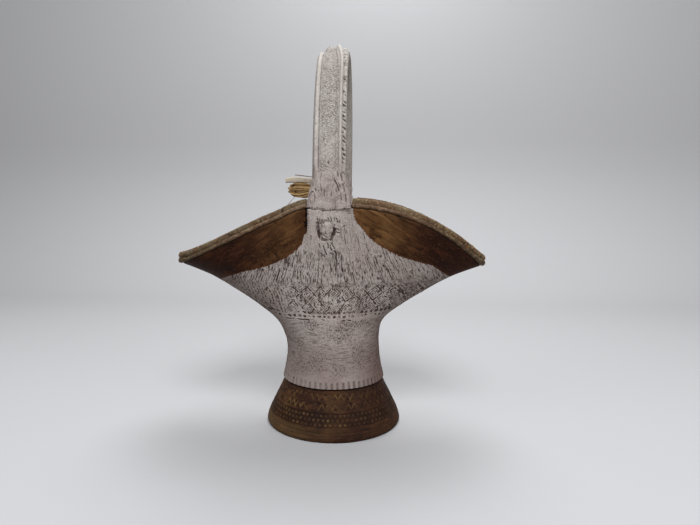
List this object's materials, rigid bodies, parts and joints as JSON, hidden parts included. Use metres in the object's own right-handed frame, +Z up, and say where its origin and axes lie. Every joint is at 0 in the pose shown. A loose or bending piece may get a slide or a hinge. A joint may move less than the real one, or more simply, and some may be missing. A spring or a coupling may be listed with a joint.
{
  "type": "flower bowl",
  "caption": "Hand-built footed flower bowl with a saddle-shaped rim, a stamped rim strip, a fluted strap handle arching over it and a tuft of raffia tied to the handle.",
  "frame": {"origin": "on the ground plane under the middle of the whole bowl's length and depth, 4 mm to the left of the foot's centre", "axes": "+Z up, +X along the bowl's length towards the right tip, -Y towards the viewer in front of the handle's front leg"},
  "size_m": [0.2664, 0.1212, 0.32],
  "materials": {
    "slip": "matt pinkish white slip over brown clay, tooled and dry",
    "brown_clay": "bare brown clay with a soft sheen",
    "rim_clay": "speckled olive brown clay, half matt",
    "raffia": "dry golden plant fibre",
    "pale_raffia": "dry bleached plant fibre"
  },
  "bodies": {
    "root": {"foot": "brown_clay", "body": "slip", "rim_strip_left": "rim_clay", "rim_strip_right": "rim_clay", "rim_bead_left": "rim_clay", "rim_bead_right": "rim_clay", "handle_strap": "slip", "handle_root_front": "slip", "handle_root_back": "slip", "root_knot_front": "slip", "root_knot_back": "slip", "raffia_wrap": "raffia", "raffia_knot": "raffia", "raffia_bow": "raffia", "raffia_ribbon": "pale_raffia", "raffia_thread": "raffia"}
  },
  "joints": []
}
